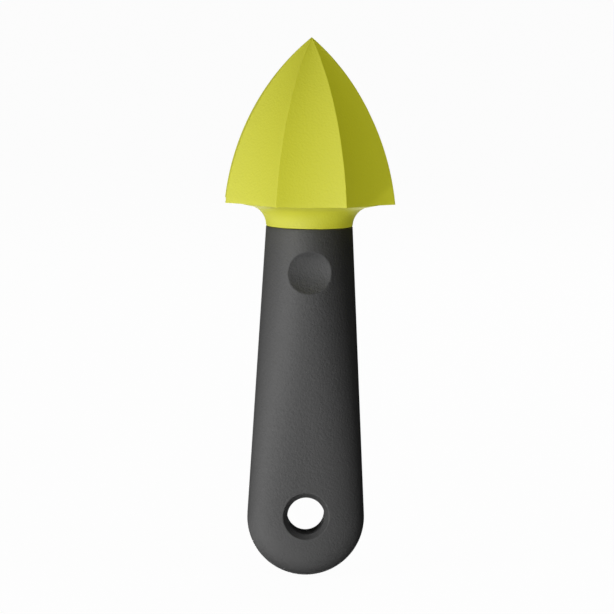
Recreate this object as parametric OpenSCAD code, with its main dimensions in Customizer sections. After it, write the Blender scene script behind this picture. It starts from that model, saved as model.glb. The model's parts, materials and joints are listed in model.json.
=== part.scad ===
// Hand lemon squeezer: a fluted reamer cone on a flared neck, pressed onto a soft-grip handle.
// Origin at the centre of the hang hole, +Z towards the tip, the thumb dimple faces -Y.

/* [Reamer cone] */
// Number of flutes round the cone
flute_count = 8; // [6:1:10]
// Radius over the ridges at the rim
ridge_r = 27.1; // [25:0.1:31]
// Height of the cone from rim to tip
cone_h = 48.5; // [44:0.1:55]
// Radius of the arc that each ridge follows from rim to tip
ridge_arc_r = 72.5; // [62:0.5:90]
// Depth of a flute at the rim
flute_depth = 1.4; // [0.8:0.1:2]
// Wall of the hollow cone behind the flutes
cone_wall = 2.6; // [2.2:0.1:3.5]

/* [Neck collar] */
// Height of the neck from the handle joint to the rim
neck_h = 7.3; // [6.8:0.1:10]
// Radius of the neck at the handle joint
neck_r = 12.82; // [12.2:0.02:14]
// Radius of the concave flare under the rim
flare_r = 6.07; // [5:0.01:6.5]
// Distance from the flute floors in to the edge of the flare
rim_setback = 1.2; // [0.8:0.1:1.6]
// Thickness of the flare at its edge
rim_land = 0.3; // [0.2:0.05:0.5]
// Height of the ring that registers the collar inside the cone
plug_h = 3.5; // [2.5:0.1:5]
// Wall of that ring
plug_wall = 2.4; // [1.8:0.1:3]
// Radial clearance of that ring in the cone
plug_clear = 0.1; // [0.05:0.01:0.2]
// Wall of the socket boss round the tang
boss_wall = 2.3; // [1.8:0.1:3]

/* [Tang] */
// Radius of the round tang
tang_r = 7; // [6:0.1:7.5]
// Length of the tang above the joint
tang_l = 22; // [18:0.5:26]
// Number of keys that stop the cone turning
key_count = 4; // [3:1:6]
// Width of a key
key_w = 3; // [2.4:0.1:4]
// Height of a key above the tang
key_h = 1.6; // [1:0.1:1.8]
// Height of the snap bead above the tang
bead_h = 0.5; // [0.3:0.05:0.7]
// Distance from the joint to the snap bead
bead_z = 16; // [12:0.5:17]
// Clearance of the tang in its socket, all round and at the end
socket_clear = 0.1; // [0.05:0.01:0.2]

/* [Handle] */
// Distance from the hang hole to the neck joint
joint_z = 85.9; // [78:0.1:96]
// Radius of the round end
end_r = 17.34; // [16.4:0.02:18.4]
// Distance from the hang hole down to the centre of the round end
end_drop = 0.85; // [0:0.05:1.5]
// Half thickness of the lower handle
palm_t = 7.3; // [6.9:0.1:8.6]
// Height at which the handle starts to thicken towards the neck
swell_z = 4; // [0:0.5:20]
// Squareness of the section at the round end, where 2 is an ellipse
end_power = 2.9; // [2.3:0.05:3.1]
// Round on the edges at the neck joint
joint_edge = 0.35; // [0.2:0.05:0.6]

/* [Thumb dimple] */
// Height of the dimple above the hang hole
dimple_z = 72.9; // [64:0.1:74]
// Radius of the dimple seen from the front
dimple_r = 6.4; // [5.5:0.1:7]
// Depth of the dimple
dimple_depth = 2; // [1.6:0.1:3]
// Reach of the dimple's ellipsoid towards the handle's axis
dimple_reach = 8; // [6.5:0.1:9]

/* [Hang hole] */
// Radius of the bore
bore_r = 5.5; // [4.5:0.1:6]
// Radius of the countersink at the surface
sink_r = 7; // [6.5:0.1:8]
// Depth of the countersink
sink_depth = 1.6; // [1:0.1:3]

/* [Handle core] */
// Thickness of grip over the core's edges
skin = 2.2; // [1.8:0.1:2.6]
// Thickness of grip round the end of the core
end_skin = 3.2; // [2.6:0.1:4]
// Thickness of grip that lines the bore
bore_lining = 2; // [1.6:0.1:2.6]
// Thickness of the shoulder that the collar sits on
shoulder_t = 3; // [2.4:0.1:4]
// Thickness of the flat spine
spine_t = 4.4; // [3.6:0.1:5]
// Thickness of the rib that stiffens the spine
rib_t = 3.2; // [2.6:0.1:4]
// Number of windows in each half of the spine, which lock the grip to it
window_count = 4; // [3:1:5]
// Radius of a window
window_r = 2.2; // [1.6:0.1:2.5]

/* [Hidden] */

// Facets: points across one flute, rings up the cone, points round the grip, rings down it, steps round its end
flute_steps = 8;
cone_rings = 22;
grip_points = 64;
grip_rings = 20;
end_steps = 24;
arc_steps = 10;
$fn = 96;

// Length by which cutters pass the faces that they open
pass = 1;

// Places along the axis
rim_z = joint_z + neck_h;
end_z = -end_drop;

// Ridge arc: its centre from the rim point (ridge_r, 0) and the tip (0, cone_h)
half_chord = norm([ridge_r, cone_h]) / 2;
chord_to_centre = sqrt(pow(ridge_arc_r, 2) - pow(half_chord, 2));
arc_x = ridge_r / 2 - chord_to_centre * cone_h / (2 * half_chord);
arc_h = cone_h / 2 - chord_to_centre * ridge_r / (2 * half_chord);
rim_angle = asin(-arc_h / ridge_arc_r);
tip_angle = asin((cone_h - arc_h) / ridge_arc_r);
function ridge_angle(i) = rim_angle + (tip_angle - rim_angle) * i / cone_rings;
function ridge_point(a) = [arc_x + ridge_arc_r * cos(a), arc_h + ridge_arc_r * sin(a)];

// Flute section: each side of the polygon of ridges bows in on one arc
half_sector = 180 / flute_count;
half_side = ridge_r * sin(half_sector);
bow_angle = 2 * atan(flute_depth / half_side);
bow_r = half_side / sin(bow_angle);
floor_r = ridge_r * cos(half_sector) - flute_depth;
function bow(x) = sqrt(pow(bow_r, 2) - pow(x, 2)) - bow_r * cos(bow_angle);
function turned(p, a) = [p[0] * cos(a) - p[1] * sin(a), p[0] * sin(a) + p[1] * cos(a)];
function flute_point(k, i) =
    let (x = half_side * (2 * i / flute_steps - 1))
    turned([ridge_r * cos(half_sector) - bow(x), x], 2 * half_sector * k - 90);

// Collar: where the flare's arc runs on as a straight line to its edge
seat_r = floor_r - cone_wall;
plug_r = seat_r - plug_clear;
collar_r = floor_r - rim_setback;
flare_x = neck_r + flare_r;
edge_h = neck_h - rim_land;
edge_span = norm([collar_r - flare_x, edge_h]);
flare_end = 180 - atan2(edge_h, collar_r - flare_x) - acos(flare_r / edge_span);
flare_start = asin(joint_edge / flare_r);

// Socket
key_r = tang_r + key_h;
socket_depth = tang_l + socket_clear;
boss_r = key_r + socket_clear + boss_wall;

// Handle outline: straight sides from the neck, tangent to the round end
side_l = joint_z - end_z;
side_angle = asin(end_r / norm([neck_r, side_l])) - atan2(neck_r, side_l);
function half_width(z) = (end_r - (z - end_z) * sin(side_angle)) / cos(side_angle);
function swell(z) = max(0, z - swell_z) / (joint_z - swell_z);
function half_depth(z) = palm_t + (neck_r - palm_t) * pow(swell(z), 2) * (3 - 2 * swell(z));
function depth_slope(z) = atan(6 * (neck_r - palm_t) * swell(z) * (1 - swell(z)) / (joint_z - swell_z));
function power(z) = 2 + (end_power - 2) * pow((joint_z - z) / (joint_z - end_z), 2);
function surface_y(x, z) = half_depth(z) * pow(1 - pow(x / half_width(z), power(z)), 1 / power(z));

// Thumb dimple: semi-axes of the ellipsoid that leaves a round rim on the curved front
dimple_front = half_depth(dimple_z);
dimple_out = dimple_reach - dimple_depth;
dimple_fall = dimple_front - surface_y(dimple_r, dimple_z);
function semi_axis(out) = dimple_r / sqrt(1 - pow(out / dimple_reach, 2));

// Core
shoulder_r = neck_r - skin;
eye_r = end_r - end_skin;
spine_top_z = joint_z - shoulder_t;
rib_low_z = end_z + eye_r;
rib_top_y = dimple_front - dimple_depth - skin;
rib_low_y = palm_t - skin;
window_step = (spine_top_z - rib_low_z) / (window_count + 1);

// Lofted outside of the cone, open flutes and all, with its rim at z = 0
module fluted_cone() {
    n = flute_count * flute_steps;
    section = [for (k = [0:flute_count - 1], i = [0:flute_steps - 1]) flute_point(k, i) / ridge_r];
    rings = [for (j = [0:cone_rings - 1]) ridge_point(ridge_angle(j))];
    points = concat(
        [for (ring = rings, p = section) [p[0] * ring[0], p[1] * ring[0], ring[1]]],
        [[0, 0, cone_h]]
    );
    sides = [for (j = [0:cone_rings - 2], i = [0:n - 1])
        [(j + 1) * n + i, (j + 1) * n + (i + 1) % n, j * n + (i + 1) % n, j * n + i]];
    top = [for (i = [0:n - 1]) [len(points) - 1, (cone_rings - 1) * n + (i + 1) % n, (cone_rings - 1) * n + i]];
    polyhedron(points, concat([[for (i = [0:n - 1]) i]], sides, top));
}

// Room inside the cone: the flute floors moved in by the wall, and a straight seat for the collar
module cone_hollow() {
    inset = [for (i = [0:cone_rings])
        let (a = ridge_angle(i), p = ridge_point(a), share = floor_r / ridge_r)
        let (normal = [cos(a), share * sin(a)] / norm([cos(a), share * sin(a)]))
        [p[0] * share, p[1]] - cone_wall * normal];
    inner = [for (p = inset) if (p[0] > 0) p];
    top = inner[len(inner) - 1];
    rotate_extrude() polygon(concat([[0, -pass], [inner[0][0], -pass]], inner, [[0, top[1]]]));
    translate([0, 0, -pass]) cylinder(r = seat_r, h = plug_h + plug_clear + pass);
}

// Tang with its keys and snap bead, from the joint up; grown by the clearance it cuts its own socket
module tang(grow = 0, below = 0) {
    translate([0, 0, -below]) cylinder(r = tang_r + grow, h = tang_l + grow + below);
    for (k = [0:key_count - 1])
        rotate(360 / key_count * k)
            translate([0, -key_w / 2 - grow, -below])
                cube([key_r + grow, key_w + 2 * grow, tang_l + grow + below]);
    translate([0, 0, bead_z])
        rotate_extrude()
            polygon([
                [tang_r - pass, -2 * bead_h - grow],
                [tang_r + grow, -2 * bead_h - grow],
                [tang_r + bead_h + grow, 0],
                [tang_r + grow, 3 * bead_h + grow],
                [tang_r - pass, 3 * bead_h + grow]
            ]);
}

// Handle outline in the plane of its width, moved in by one skin at the sides and round the end
module spine_outline() {
    side = [for (i = [0:arc_steps]) let (a = side_angle - (90 + side_angle) * i / arc_steps)
        [eye_r * cos(a), end_z + eye_r * sin(a)]];
    right = concat([[half_width(spine_top_z) - end_skin, spine_top_z]], side);
    left = [for (i = [len(right) - 2:-1:0]) [-right[i][0], right[i][1]]];
    polygon(concat(right, left));
}

// Spine, rib and eye of the core, below the shoulder
module core_frame() {
    difference() {
        rotate([90, 0, 0]) linear_extrude(spine_t, center = true) spine_outline();
        rotate([90, 0, 0]) cylinder(r = bore_r + bore_lining, h = spine_t + 2 * pass, center = true);
        for (i = [1:window_count], side = [-1, 1])
            let (z = rib_low_z + window_step * i)
            translate([side * (rib_t / 2 + half_width(z) - end_skin) / 2, 0, z])
                rotate([90, 0, 0]) cylinder(r = window_r, h = spine_t + 2 * pass, center = true);
    }
    rotate([90, 0, 90])
        linear_extrude(rib_t, center = true)
            polygon([
                [-rib_low_y, rib_low_z], [rib_low_y, rib_low_z],
                [rib_top_y, spine_top_z], [-rib_top_y, spine_top_z]
            ]);
}

// Lofted outside of the grip: sections from the neck down, then the last one swung round the end
module grip_body() {
    n = grip_points;
    half = n / 2;
    function signed_power(v, p) = sign(v) * pow(abs(v), p);
    function section(a, b, p) = [for (i = [0:n - 1]) let (t = 360 * i / n - 90)
        [a * signed_power(cos(t), 2 / p), b * signed_power(sin(t), 2 / p)]];
    low_z = joint_z - joint_edge;
    levels = [for (j = [0:grip_rings]) low_z + (end_z - low_z) * j / grip_rings];
    sections = concat(
        [section(neck_r - joint_edge, neck_r - joint_edge, 2)],
        [for (z = levels) section(z > end_z ? half_width(z) : end_r, half_depth(z), power(z))]
    );
    heights = concat([joint_z], levels);
    last = len(sections) - 1;
    end_section = sections[last];
    points = concat(
        [for (j = [0:last], p = sections[j]) [p[0], p[1], heights[j]]],
        [for (j = [1:end_steps - 1], i = [1:half - 1]) let (a = 180 * j / end_steps, p = end_section[i])
            [p[0] * cos(a), p[1], end_z - p[0] * sin(a)]]
    );
    function end_index(j, i) =
        i == 0 || i == half || j == 0 ? last * n + i
        : j == end_steps ? last * n + n - i
        : (last + 1) * n + (j - 1) * (half - 1) + i - 1;
    sides = [for (j = [0:last - 1], i = [0:n - 1])
        [j * n + i, j * n + (i + 1) % n, (j + 1) * n + (i + 1) % n, (j + 1) * n + i]];
    front_fan = [for (j = [0:end_steps - 1]) [end_index(j, 0), end_index(j, 1), end_index(j + 1, 1)]];
    back_fan = [for (j = [0:end_steps - 1])
        [end_index(j, half - 1), end_index(j, half), end_index(j + 1, half - 1)]];
    end_faces = [for (j = [0:end_steps - 1], i = [1:half - 2])
        [end_index(j, i), end_index(j, i + 1), end_index(j + 1, i + 1), end_index(j + 1, i)]];
    polyhedron(points, concat([[for (i = [n - 1:-1:0]) i]], sides, front_fan, back_fan, end_faces));
}

// Hang hole along Y with a countersink on both faces
module hang_hole() {
    sink_run = (sink_r - bore_r) / sink_depth;
    rotate([90, 0, 0]) cylinder(r = bore_r, h = 2 * (palm_t + pass), center = true);
    for (side = [-90, 90])
        rotate([side, 0, 0])
            translate([0, 0, palm_t - sink_depth])
                cylinder(r1 = bore_r, r2 = sink_r + pass * sink_run, h = sink_depth + pass);
}

// Ellipsoid that hollows the thumb dimple, square to the sloping front
module thumb_dimple() {
    translate([0, -dimple_front, dimple_z])
        rotate([depth_slope(dimple_z), 0, 0])
            translate([0, -dimple_out, 0])
                scale([semi_axis(dimple_out + dimple_fall), dimple_reach, semi_axis(dimple_out)])
                    sphere(r = 1);
}

// Lime cone: hollow moulding with ogive ridges and concave flutes
module reamer_cone() {
    color([0.8, 0.8, 0.2])
        translate([0, 0, rim_z])
            difference() {
                fluted_cone();
                cone_hollow();
            }
}

// Lime collar: flared neck that closes the cone from below and holds the tang
module neck_collar() {
    flare = [for (i = [0:arc_steps]) let (a = flare_start + (flare_end - flare_start) * i / arc_steps)
        [flare_x - flare_r * cos(a), flare_r * sin(a)]];
    boss_top = socket_depth + boss_wall;
    color([0.8, 0.8, 0.2])
        translate([0, 0, joint_z])
            difference() {
                rotate_extrude()
                    polygon(concat(
                        [[0, 0], [neck_r - joint_edge, 0]],
                        flare,
                        [
                            [collar_r, edge_h], [collar_r, neck_h],
                            [plug_r, neck_h], [plug_r, neck_h + plug_h],
                            [plug_r - plug_wall, neck_h + plug_h], [plug_r - plug_wall, neck_h],
                            [boss_r, neck_h], [boss_r, boss_top], [0, boss_top]
                        ]
                    ));
                tang(grow = socket_clear, below = pass);
            }
}

// Stiff core: keyed tang, shoulder, ribbed spine and the eye round the hang hole
module handle_core() {
    color([0.45, 0.45, 0.45]) {
        translate([0, 0, joint_z]) tang(below = shoulder_t);
        translate([0, 0, spine_top_z]) cylinder(r = shoulder_r, h = shoulder_t);
        core_frame();
    }
}

// Charcoal grip: soft skin moulded round the core
module handle_grip() {
    color([0.24, 0.24, 0.24])
        difference() {
            grip_body();
            hang_hole();
            thumb_dimple();
            translate([0, 0, spine_top_z]) cylinder(r = shoulder_r, h = shoulder_t + pass);
            core_frame();
        }
}

reamer_cone();
neck_collar();
handle_core();
handle_grip();
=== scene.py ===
# Hand lemon squeezer: a fluted lime cone on a flared neck, and a charcoal handle stood on its round end.
import json
import math

import bpy
from mathutils import Matrix, Vector


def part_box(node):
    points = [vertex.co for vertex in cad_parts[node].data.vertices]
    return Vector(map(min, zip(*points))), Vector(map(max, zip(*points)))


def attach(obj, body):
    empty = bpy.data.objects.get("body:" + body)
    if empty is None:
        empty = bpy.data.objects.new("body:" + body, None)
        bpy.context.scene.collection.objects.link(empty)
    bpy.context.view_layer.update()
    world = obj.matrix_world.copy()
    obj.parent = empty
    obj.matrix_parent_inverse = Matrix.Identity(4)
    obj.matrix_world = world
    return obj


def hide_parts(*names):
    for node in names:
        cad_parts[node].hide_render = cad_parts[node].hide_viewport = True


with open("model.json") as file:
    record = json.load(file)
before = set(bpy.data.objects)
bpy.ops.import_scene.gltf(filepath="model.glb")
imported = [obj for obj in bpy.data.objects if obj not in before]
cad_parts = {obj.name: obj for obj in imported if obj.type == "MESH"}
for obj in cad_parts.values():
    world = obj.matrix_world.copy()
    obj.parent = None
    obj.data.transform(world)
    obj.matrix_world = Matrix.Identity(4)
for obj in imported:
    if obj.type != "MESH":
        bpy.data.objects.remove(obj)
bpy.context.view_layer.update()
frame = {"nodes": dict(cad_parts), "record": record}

# Handle core
# Stiff plastic moulding inside the handle: a ribbed spine with an eye at one end and a keyed tang at the
# other. Its solid is right as it stands, so it only gets its finish. The grip and the collar hide it.


class Field:
    """A socket of a material. Sums on it are written as Python, and node() adds any other node."""

    def __init__(self, tree, socket=None):
        self.tree = tree
        self.socket = socket

    def node(self, kind, settings=None, sockets=None, output=0):
        made = self.tree.nodes.new(kind)
        for name, value in (settings or {}).items():
            setattr(made, name, value)
        for name, value in (sockets or {}).items():
            if isinstance(value, Field):
                self.tree.links.new(value.socket, made.inputs[name])
            else:
                made.inputs[name].default_value = value
        return Field(self.tree, made.outputs[output])

    def sum(self, operation, first, second):
        return self.node("ShaderNodeMath", {"operation": operation}, {0: first, 1: second})

    def __add__(self, other):
        return self.sum("ADD", self, other)

    def __radd__(self, other):
        return self.sum("ADD", other, self)

    def __mul__(self, other):
        return self.sum("MULTIPLY", self, other)

    def __rmul__(self, other):
        return self.sum("MULTIPLY", other, self)

    def feed(self, shader, name):
        self.tree.links.new(self.socket, shader.inputs[name])


def moulded_finish(name, dark, light, grain_size, grain_depth, roughness, ior):
    """A moulded plastic: two shades mottled by a fine grain, which also sets the bump and roughness."""
    cloud_share = 0.25
    rough_swing = 0.06
    material = bpy.data.materials.new(name)
    material.use_nodes = True
    shader = material.node_tree.nodes["Principled BSDF"]
    shader.inputs["Specular IOR Level"].default_value = 1.0
    shader.inputs["IOR"].default_value = ior
    surface = Field(material.node_tree)
    place = surface.node("ShaderNodeTexCoord", output="Object")
    grain = surface.node(
        "ShaderNodeTexNoise",
        sockets={"Vector": place, "Scale": 1 / grain_size, "Detail": 3.0, "Roughness": 0.6},
        output="Fac",
    )
    cloud = surface.node(
        "ShaderNodeTexNoise",
        sockets={"Vector": place, "Scale": 0.04 / grain_size, "Detail": 2.0, "Roughness": 0.5},
        output="Fac",
    )
    shade = surface.node(
        "ShaderNodeMix",
        {"data_type": "RGBA", "clamp_factor": True},
        {"Factor": (1 - cloud_share) * grain + cloud_share * cloud, "A": (*dark, 1), "B": (*light, 1)},
        output="Result",
    )
    shade.feed(shader, "Base Color")
    (roughness - rough_swing + 2 * rough_swing * grain).feed(shader, "Roughness")
    bump = surface.node(
        "ShaderNodeBump",
        sockets={"Height": grain, "Strength": 0.5, "Distance": grain_depth},
        output="Normal",
    )
    bump.feed(shader, "Normal")
    return material


core_plastic = moulded_finish(
    "stiff_core_plastic",
    dark=(0.16, 0.16, 0.16),
    light=(0.22, 0.22, 0.22),
    grain_size=4e-4,
    grain_depth=2e-5,
    roughness=0.45,
    ior=1.5,
)
core = frame["nodes"]["handle_core"]
core.data.materials.clear()
core.data.materials.append(core_plastic)

# Handle grip
# Charcoal soft-touch skin moulded over the core, round at the neck and flat at the palm.
# It has a thumb dimple in front and a countersunk hang hole through its round end.

grip_low, grip_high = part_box("handle_grip")
joint_z = grip_high.z
end_r = grip_high.x
end_z = grip_low.z + end_r
neck_r = 0.01282
palm_t = 0.0073
swell_z = 0.004
end_power = 2.9
joint_edge = 0.00035
edge_steps = 4
smooth_angle = math.radians(28)
same_place = 1e-6
weld_gap = 1e-7
side_l = joint_z - end_z
side_angle = math.asin(end_r / math.hypot(neck_r, side_l)) - math.atan2(neck_r, side_l)


def take_up(piece):
    """Leaves edit mode and selects one piece alone."""
    if bpy.context.object and bpy.context.object.mode != "OBJECT":
        bpy.ops.object.mode_set(mode="OBJECT")
    bpy.ops.object.select_all(action="DESELECT")
    if piece:
        bpy.context.view_layer.objects.active = piece
        piece.select_set(True)


def ring_stack(name, rings, columns, fill="NOTHING"):
    """A piece drawn out of a circle, ring by ring. A ring is its half width, half depth and height."""
    take_up(None)
    first = rings[0]
    bpy.ops.mesh.primitive_circle_add(
        vertices=columns, radius=1, fill_type=fill, location=(0, 0, first[2])
    )
    piece = bpy.context.object
    piece.name = name
    bpy.ops.object.mode_set(mode="EDIT")
    bpy.ops.mesh.select_mode(type="EDGE")
    bpy.ops.mesh.select_all(action="SELECT")
    bpy.ops.transform.resize(value=(first[0], first[1], 1), center_override=(0, 0, first[2]))
    for below, ring in zip(rings, rings[1:]):
        bpy.ops.mesh.extrude_edges_move(TRANSFORM_OT_translate={"value": (0, 0, ring[2] - below[2])})
        bpy.ops.transform.resize(
            value=(ring[0] / below[0], ring[1] / below[1], 1), center_override=(0, 0, ring[2])
        )
    bpy.ops.object.mode_set(mode="OBJECT")
    bpy.ops.object.transform_apply(location=True, rotation=True, scale=True)
    return piece


def select_points(piece, chosen):
    """Enters edit mode with the points that pass a test selected."""
    take_up(piece)
    bpy.ops.object.mode_set(mode="EDIT")
    bpy.ops.mesh.select_mode(type="VERT")
    bpy.ops.mesh.select_all(action="DESELECT")
    bpy.ops.object.mode_set(mode="OBJECT")
    for vertex in piece.data.vertices:
        vertex.select = chosen(vertex.co)
    bpy.ops.object.mode_set(mode="EDIT")


def close_up(piece):
    """Fills the open ends of a shell, merges its doubles and points its faces outwards."""
    take_up(piece)
    bpy.ops.object.mode_set(mode="EDIT")
    bpy.ops.mesh.select_all(action="SELECT")
    bpy.ops.mesh.remove_doubles(threshold=weld_gap)
    bpy.ops.mesh.fill_holes(sides=0)
    bpy.ops.mesh.normals_make_consistent(inside=False)
    bpy.ops.object.mode_set(mode="OBJECT")


def cut(piece, cutter):
    """Cuts one piece by another, which is then thrown away."""
    take_up(piece)
    knife = piece.modifiers.new("cut", "BOOLEAN")
    knife.operation = "DIFFERENCE"
    knife.solver = "EXACT"
    knife.object = cutter
    bpy.ops.object.modifier_apply(modifier=knife.name)
    bpy.data.objects.remove(cutter)


def half_width(z):
    if z < end_z:
        return math.sqrt(max(end_r ** 2 - (z - end_z) ** 2, 0))
    return min(end_r, (end_r - (z - end_z) * math.sin(side_angle)) / math.cos(side_angle))


def swell(z):
    """Half thickness on the centre line: flat at the palm, and an easy S up to the round neck."""
    rise = max(0, z - swell_z) / (joint_z - swell_z)
    return palm_t + (neck_r - palm_t) * rise ** 2 * (3 - 2 * rise)


def power(z):
    """Squareness of the section: 2 is an ellipse, and more is flatter with tighter sides."""
    return 2 + (end_power - 2) * ((joint_z - max(z, end_z)) / side_l) ** 2


def half_depth(x, z):
    """Half thickness of the handle at a point of its front view."""
    p = power(z)
    out = math.hypot(x, z - end_z) / end_r if z < end_z else abs(x) / half_width(z)
    return swell(z) * max(1 - out ** p, 0) ** (1 / p)


def rounded_min(a, b, k):
    """The lesser of two heights, with the edge between them rounded over the height k."""
    share = min(max(0.5 + (b - a) / (2 * k), 0), 1)
    return b + (a - b) * share - k * share * (1 - share)


round_steps = 160
shaft_steps = 84
end_steps = 30
edge_turns = [math.pi / 2 * i / edge_steps for i in range(edge_steps)]
edge_rings = []
for turn in edge_turns:
    edge_x = neck_r - joint_edge * (1 - math.sin(turn))
    edge_rings.append((edge_x, edge_x, joint_z - joint_edge * (1 - math.cos(turn))))
top_z = joint_z - joint_edge
shaft_heights = [top_z + (end_z - top_z) * i / shaft_steps for i in range(shaft_steps + 1)]
end_heights = [end_z - end_r * math.sin(math.pi / 2 * i / end_steps) for i in range(1, end_steps)]
body_rings = [(half_width(z), half_depth(0, z), z) for z in shaft_heights + end_heights]
grip = ring_stack("soft_grip", edge_rings + body_rings, round_steps, "NGON")

# Each elliptical ring is squared off by moving its points, which no operator does to a ring at a time.
for vertex in grip.data.vertices:
    x, y, z = vertex.co
    if z > top_z + same_place:
        continue
    p = power(z)
    wide = half_width(z)
    vertex.co.x = math.copysign(wide * min(abs(x) / wide, 1) ** (2 / p), x)
    if z < end_z:
        vertex.co.y = math.copysign(half_depth(vertex.co.x, z), y)
    else:
        vertex.co.y = math.copysign(swell(z) * min(abs(y) / swell(z), 1) ** (2 / p), y)

# The last ring is drawn together at the bottom of the round end.
select_points(grip, lambda place: abs(place.z - end_heights[-1]) < same_place)
bpy.ops.mesh.extrude_region_move(TRANSFORM_OT_translate={"value": (0, 0, grip_low.z - end_heights[-1])})
bpy.ops.mesh.merge(type="CENTER")
close_up(grip)

# The thumb dimple and the countersinks are pressed into fine patches of the skin, with rounded rims.
hole = frame["record"]["mounts"][0]
bore_r = hole["dims"]["r_mm"] / 1000
bore_half = hole["dims"]["length_mm"] / 2000
sink_r = 0.007
sink_round = 0.00018
sink_lead = 0.0003
sink_slope = (palm_t - bore_half) / (sink_r - bore_r)
sink_patch = 0.0088
sink_face = 0.7 * palm_t
dimple_z = 0.0729
dimple_r = 0.0064
dimple_depth = 0.002
dimple_reach = 0.008
dimple_round = 0.0002
dimple_patch = 0.0078
patch_cuts = 6
dimple_out = dimple_reach - dimple_depth
dimple_fall = swell(dimple_z) - half_depth(dimple_r, dimple_z)
dimple_rise = (dimple_z - swell_z) / (joint_z - swell_z)
dimple_tilt = math.atan(6 * (neck_r - palm_t) * dimple_rise * (1 - dimple_rise) / (joint_z - swell_z))
dimple_middle = Vector((0, -swell(dimple_z), dimple_z))
dimple_face = Vector((0, -math.cos(dimple_tilt), -math.sin(dimple_tilt)))
dimple_up = Vector((0, -math.sin(dimple_tilt), math.cos(dimple_tilt)))


def semi_axis(out):
    return dimple_r / math.sqrt(1 - (out / dimple_reach) ** 2)


dimple_across = semi_axis(dimple_out + dimple_fall)
dimple_along = semi_axis(dimple_out)


def by_dimple(place):
    return place.y < 0 and math.hypot(place.x, place.z - dimple_z) < dimple_patch


def by_hole(place):
    return math.hypot(place.x, place.z) < sink_patch and abs(place.y) > sink_face


for near in (by_dimple, by_hole):
    take_up(grip)
    bpy.ops.object.mode_set(mode="EDIT")
    bpy.ops.mesh.select_mode(type="FACE")
    bpy.ops.mesh.select_all(action="DESELECT")
    bpy.ops.object.mode_set(mode="OBJECT")
    for face in grip.data.polygons:
        face.select = near(face.center)
    bpy.ops.object.mode_set(mode="EDIT")
    bpy.ops.mesh.subdivide(number_cuts=patch_cuts)
    bpy.ops.object.mode_set(mode="OBJECT")

for vertex in grip.data.vertices:
    place = vertex.co
    if by_hole(place):
        out = math.hypot(place.x, place.z)
        sink = bore_half + sink_slope * max(out - bore_r, -sink_lead)
        skin = half_depth(place.x, place.z)
        place.y = math.copysign(rounded_min(skin, sink, sink_round), place.y)
    elif by_dimple(place):
        place.y = -half_depth(place.x, place.z)
        from_middle = place - dimple_middle
        across = from_middle.x / dimple_across
        along = from_middle.dot(dimple_up) / dimple_along
        if across ** 2 + along ** 2 < 1:
            skin = from_middle.dot(dimple_face)
            bowl = dimple_out - dimple_reach * math.sqrt(1 - across ** 2 - along ** 2)
            vertex.co = place + dimple_face * (rounded_min(skin, bowl, dimple_round) - skin)

# The hang hole is bored through along the handle's thickness.
take_up(None)
bpy.ops.mesh.primitive_cylinder_add(
    vertices=round_steps, radius=bore_r, depth=4 * palm_t, rotation=(math.pi / 2, 0, 0)
)
bore = bpy.context.object
bpy.ops.object.transform_apply(location=True, rotation=True, scale=True)
cut(grip, bore)

grip_skin = moulded_finish(
    "soft_charcoal_skin",
    dark=(0.009, 0.009, 0.009),
    light=(0.014, 0.014, 0.014),
    grain_size=7e-4,
    grain_depth=2.8e-4,
    roughness=0.68,
    ior=1.63,
)
grip.data.materials.append(grip_skin)
take_up(grip)
bpy.ops.object.shade_smooth_by_angle(angle=smooth_angle)
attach(grip, "root")
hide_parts("handle_grip")

# Neck collar
# Lime plastic ring that closes the cone from below and flares down to the handle.
# It is turned here from its profile, as the round mould is; the tang snaps into its socket.

cone_low, cone_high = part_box("reamer_cone")
collar_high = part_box("neck_collar")[1]
rim_z = cone_low.z
collar_r = collar_high.x
flare_r = 0.00607
rim_land = 0.0003
plug_clear = 0.0001
cone_wall = 0.0026
rim_setback = 0.0012
plug_h = 0.0035
plug_wall = 0.0024
boss_r = 0.011
seat_r = collar_r + rim_setback - cone_wall
plug_r = seat_r - plug_clear
flare_x = neck_r + flare_r
edge_z = rim_z - rim_land
reach = math.hypot(collar_r - flare_x, edge_z - joint_z)
flare_start = math.asin(joint_edge / flare_r)
flare_end = math.pi - math.atan2(edge_z - joint_z, collar_r - flare_x) - math.acos(flare_r / reach)
flare_steps = 24
collar_profile = []
for turn in edge_turns:
    collar_profile.append(
        (neck_r - joint_edge * (1 - math.sin(turn)), joint_z + joint_edge * (1 - math.cos(turn)))
    )
for i in range(flare_steps + 1):
    turn = flare_start + (flare_end - flare_start) * i / flare_steps
    collar_profile.append((flare_x - flare_r * math.cos(turn), joint_z + flare_r * math.sin(turn)))
collar_profile += [
    (collar_r, edge_z),
    (collar_r, rim_z),
    (plug_r, rim_z),
    (plug_r, rim_z + plug_h),
    (plug_r - plug_wall, rim_z + plug_h),
    (plug_r - plug_wall, rim_z),
    (boss_r, rim_z),
    (boss_r, collar_high.z),
]
collar = ring_stack("flared_collar", [(r, r, z) for r, z in collar_profile], round_steps, "NGON")
close_up(collar)

lime_plastic = moulded_finish(
    "grained_lime_plastic",
    dark=(0.57, 0.57, 0.001),
    light=(0.61, 0.61, 0.003),
    grain_size=7e-4,
    grain_depth=2.3e-4,
    roughness=0.72,
    ior=1.63,
)
collar.data.materials.append(lime_plastic)
take_up(collar)
bpy.ops.object.shade_smooth_by_angle(angle=smooth_angle)
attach(collar, "root")
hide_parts("neck_collar")

# Reamer cone
# Hollow lime moulding that is pushed into the fruit: crisp ridges on an ogive, with a concave flute
# between each two. Its rim sits on the collar's shoulder, and its grain is the same as the collar's.

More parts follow.
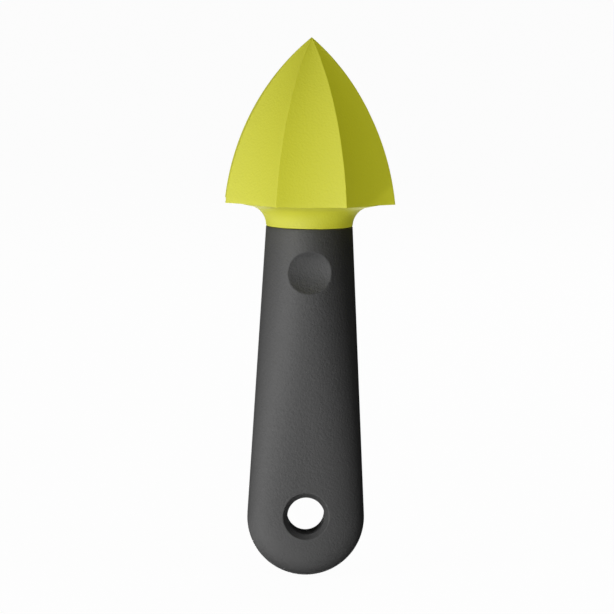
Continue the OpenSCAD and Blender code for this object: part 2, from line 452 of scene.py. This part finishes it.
flute_count = 8
flute_steps = 18
half_sector = math.pi / flute_count
ridge_r = cone_high.x / math.cos(half_sector)
ridge_round = 0.0002
rim_round = 0.00006
cone_h = cone_high.z - rim_z
ridge_arc_r = 0.0725
flute_depth = 0.0014
half_chord = math.hypot(ridge_r, cone_h) / 2
chord_to_centre = math.sqrt(ridge_arc_r ** 2 - half_chord ** 2)
arc_x = ridge_r / 2 - chord_to_centre * cone_h / (2 * half_chord)
arc_z = rim_z + cone_h / 2 - chord_to_centre * ridge_r / (2 * half_chord)
rim_angle = math.asin((rim_z + rim_round - arc_z) / ridge_arc_r)
tip_angle = math.asin((cone_high.z - arc_z) / ridge_arc_r)
ridge_steps = 40
rim_x = arc_x + ridge_arc_r * math.cos(rim_angle)
ridge_profile = []
for turn in edge_turns:
    rim_in = rim_round * (1 - math.sin(turn))
    rim_up = rim_round * (1 - math.cos(turn))
    ridge_profile.append((rim_x - rim_in, rim_z + rim_up))
for i in range(ridge_steps):
    turn = rim_angle + (tip_angle - rim_angle) * i / ridge_steps
    ridge_profile.append((arc_x + ridge_arc_r * math.cos(turn), arc_z + ridge_arc_r * math.sin(turn)))

# The section of one flute: half a rounded ridge, the hollow arc and the first half of the next ridge.
half_side = ridge_r * math.sin(half_sector)
bow_angle = 2 * math.atan(flute_depth / half_side)
bow_r = half_side / math.sin(bow_angle)
bow_centre = ridge_r * math.cos(half_sector) + bow_r * math.cos(bow_angle)
ridge_turn = half_sector + bow_angle
ridge_centre = ridge_r - ridge_round / math.cos(ridge_turn)
hollow_half = half_side - ridge_round * math.tan(ridge_turn) * math.cos(bow_angle)


def turned(out, across, angle):
    """A point given outwards and across, turned about the axis."""
    return (
        out * math.cos(angle) - across * math.sin(angle),
        out * math.sin(angle) + across * math.cos(angle),
    )


def ridge_point(turn, side):
    return turned(
        ridge_centre + ridge_round * math.cos(turn), ridge_round * math.sin(turn), side * half_sector
    )


flute = [ridge_point(ridge_turn * i / edge_steps, -1) for i in range(edge_steps)]
for i in range(flute_steps + 1):
    across = hollow_half * (2 * i / flute_steps - 1)
    flute.append((bow_centre - math.sqrt(bow_r ** 2 - across ** 2), across))
flute += [ridge_point(-ridge_turn * (1 - i / edge_steps), 1) for i in range(1, edge_steps)]
section = [turned(*point, 2 * half_sector * k) for k in range(flute_count) for point in flute]

# The rim is a circle whose points are set on the section; it is then drawn up to the tip, ring by ring.
take_up(None)
bpy.ops.mesh.primitive_circle_add(vertices=len(section), radius=ridge_r, location=(0, 0, rim_z))
cone = bpy.context.object
cone.name = "fluted_cone"
bpy.ops.object.transform_apply(location=True, rotation=True, scale=True)
share = ridge_profile[0][0] / ridge_r
for vertex, point in zip(cone.data.vertices, section):
    vertex.co = (point[0] * share, point[1] * share, rim_z)
bpy.ops.object.mode_set(mode="EDIT")
bpy.ops.mesh.select_mode(type="EDGE")
bpy.ops.mesh.select_all(action="SELECT")
for below, ring in zip(ridge_profile, ridge_profile[1:]):
    bpy.ops.mesh.extrude_edges_move(TRANSFORM_OT_translate={"value": (0, 0, ring[1] - below[1])})
    share = ring[0] / below[0]
    bpy.ops.transform.resize(value=(share, share, 1), center_override=(0, 0, ring[1]))
to_tip = cone_high.z - ridge_profile[-1][1]
bpy.ops.mesh.extrude_edges_move(TRANSFORM_OT_translate={"value": (0, 0, to_tip)})
bpy.ops.mesh.merge(type="CENTER")
bpy.ops.object.mode_set(mode="OBJECT")

# From the rim the wall turns in under the cone, up the collar's seat and on as the inside of the shell.
flute_floor = (ridge_r * math.cos(half_sector) - flute_depth) / ridge_r
inner_profile = [(seat_r, rim_z), (seat_r, rim_z + plug_h + plug_clear)]
plug_steps = 4
for i in range(plug_steps, ridge_steps):
    turn = rim_angle + (tip_angle - rim_angle) * i / ridge_steps
    normal = Vector((math.cos(turn), flute_floor * math.sin(turn))).normalized()
    r = flute_floor * (arc_x + ridge_arc_r * math.cos(turn)) - cone_wall * normal.x
    z = arc_z + ridge_arc_r * math.sin(turn) - cone_wall * normal.y
    if r > cone_wall / 2 and z > inner_profile[-1][1]:
        inner_profile.append((r, z))
inner = ring_stack("cone_inside", [(r, r, z) for r, z in inner_profile], len(section))
select_points(inner, lambda place: abs(place.z - inner_profile[-1][1]) < same_place)
bpy.ops.mesh.edge_face_add()
take_up(inner)
cone.select_set(True)
bpy.context.view_layer.objects.active = cone
bpy.ops.object.join()
select_points(cone, lambda place: abs(place.z - rim_z) < same_place)
bpy.ops.mesh.select_mode(type="EDGE")
bpy.ops.mesh.fill(use_beauty=True)
close_up(cone)
cone.data.materials.append(lime_plastic)
take_up(cone)
bpy.ops.object.shade_smooth_by_angle(angle=smooth_angle)
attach(cone, "root")
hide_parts("reamer_cone")

# Floor
# A plain pale studio floor that runs past every edge of the picture. Where it is seen it glows almost
# white, and the rest is its own shading, so it keeps a faint shadow. The glow is linked to the floor
# alone, so it puts no light on the pieces; the paper is grey to them and throws little light back.


def seen_rays(field):
    """1 for rays of the camera, of sheen and through clear matter; 0 for those that only carry light."""
    camera_ray = field.node("ShaderNodeLightPath", output="Is Camera Ray")
    glossy_ray = field.node("ShaderNodeLightPath", output="Is Glossy Ray")
    clear_ray = field.node("ShaderNodeLightPath", output="Is Transmission Ray")
    return field.sum("MINIMUM", camera_ray + glossy_ray + clear_ray, 1)


floor_w = 30
glow_share = 0.97
take_up(None)
bpy.ops.mesh.primitive_plane_add(size=floor_w, location=(0, 0, grip_low.z))
floor = bpy.context.object
floor.name = "studio_floor"
floor.visible_shadow = False
paper = bpy.data.materials.new("white_paper")
paper.use_nodes = True
paper.cycles.emission_sampling = "NONE"
sweep = Field(paper.node_tree)
grey = sweep.node("ShaderNodeBsdfDiffuse", sockets={"Color": (0.25, 0.25, 0.25, 1)})
matt = sweep.node("ShaderNodeBsdfDiffuse", sockets={"Color": (0.8, 0.8, 0.8, 1)})
glow = sweep.node("ShaderNodeEmission", sockets={"Color": (1, 1, 1, 1), "Strength": 1.0})
white = sweep.node("ShaderNodeMixShader", sockets={0: glow_share, 1: matt, 2: glow})
tone = sweep.node("ShaderNodeMixShader", sockets={0: seen_rays(sweep), 1: grey, 2: white})
tone.feed(paper.node_tree.nodes["Material Output"], "Surface")
floor.data.materials.append(paper)
paper_only = bpy.data.collections.new("lit_by_the_paper")
paper_only.objects.link(floor)
floor.light_linking.receiver_collection = paper_only

# Studio light
# A small key low on the front left, with broad lamps low in front, on the left, high left and above.
# The right and the back are filled by lamps that make no sheen, so the right side falls off as in the
# picture, and one low lamp shapes the back. The room is dim, and pale only where it is seen.

middle = Vector((0, 0, (cone_high.z + grip_low.z) / 2))
lamp_distance = 1.2


def lamp(name, azimuth, elevation, size, power_w, sheen=True):
    """A round lamp aimed at the middle. Low ones shine up through the floor, which casts no shadow."""
    light = bpy.data.lights.new(name, "AREA")
    light.shape = "DISK"
    light.size = size
    light.energy = power_w
    # Off, because rays that meet the floor first would count against the lamps below it.
    light.cycles.use_multiple_importance_sampling = False
    holder = bpy.data.objects.new(name, light)
    bpy.context.scene.collection.objects.link(holder)
    a, e = math.radians(azimuth), math.radians(elevation)
    towards = Vector((math.sin(a) * math.cos(e), -math.cos(a) * math.cos(e), math.sin(e)))
    holder.location = middle + towards * lamp_distance
    holder.rotation_euler = towards.to_track_quat("Z", "Y").to_euler()
    holder.visible_camera = False
    holder.visible_glossy = sheen


# Azimuth from the front and elevation in degrees, width in metres and power in watts.
lamp("key_lamp", -42, -15, 0.06, 7.3)
lamp("low_lamp", -4, -40, 1.4, 5.0)
lamp("side_lamp", -105, -25, 0.7, 3.8)
lamp("high_lamp", -55, 25, 0.7, 2.2)
lamp("top_lamp", -30, 50, 1.4, 3.3)
lamp("fill_lamp", 45, 50, 1.4, 4.8, sheen=False)
lamp("low_fill_lamp", 60, -35, 1.4, 3.6, sheen=False)
lamp("back_lamp", 180, -24, 0.7, 5.0)
lamp("rear_fill_lamp", 160, 35, 1.0, 5.0, sheen=False)
world = bpy.data.worlds.new("even_room")
bpy.context.scene.world = world
world.use_nodes = True
room = Field(world.node_tree)
dim = room.node("ShaderNodeBackground", sockets={"Color": (1, 1, 1, 1), "Strength": 0.06})
pale = room.node("ShaderNodeBackground", sockets={"Color": (1, 1, 1, 1), "Strength": 0.98})
even = room.node("ShaderNodeMixShader", sockets={0: seen_rays(room), 1: dim, 2: pale})
even.feed(world.node_tree.nodes["World Output"], "Surface")
world.cycles_visibility.glossy = False

# Camera
# A long lens from a little above and a little to the left, rolled by under a degree as the picture is.

lens_mm = 320
camera_distance = 1.6174
camera_elevation = math.radians(5.611)
camera_azimuth = math.radians(-1.092)
camera_roll = math.radians(0.736)
aim = Vector((-0.00039, 0, 0.06171))
back = Vector((
    math.sin(camera_azimuth) * math.cos(camera_elevation),
    -math.cos(camera_azimuth) * math.cos(camera_elevation),
    math.sin(camera_elevation),
))
level = Vector((math.cos(camera_azimuth), math.sin(camera_azimuth), 0))
upright = back.cross(level)
right = level * math.cos(camera_roll) + upright * math.sin(camera_roll)
up = upright * math.cos(camera_roll) - level * math.sin(camera_roll)
camera = bpy.data.objects.new("camera", bpy.data.cameras.new("camera"))
bpy.context.scene.collection.objects.link(camera)
camera.data.lens = lens_mm
camera.data.sensor_width = 36
camera.data.clip_end = 60
turned_to = Matrix((right, up, back)).transposed().to_4x4()
camera.matrix_world = Matrix.Translation(aim + back * camera_distance) @ turned_to
bpy.context.scene.camera = camera
bpy.context.scene.view_settings.view_transform = "Standard"
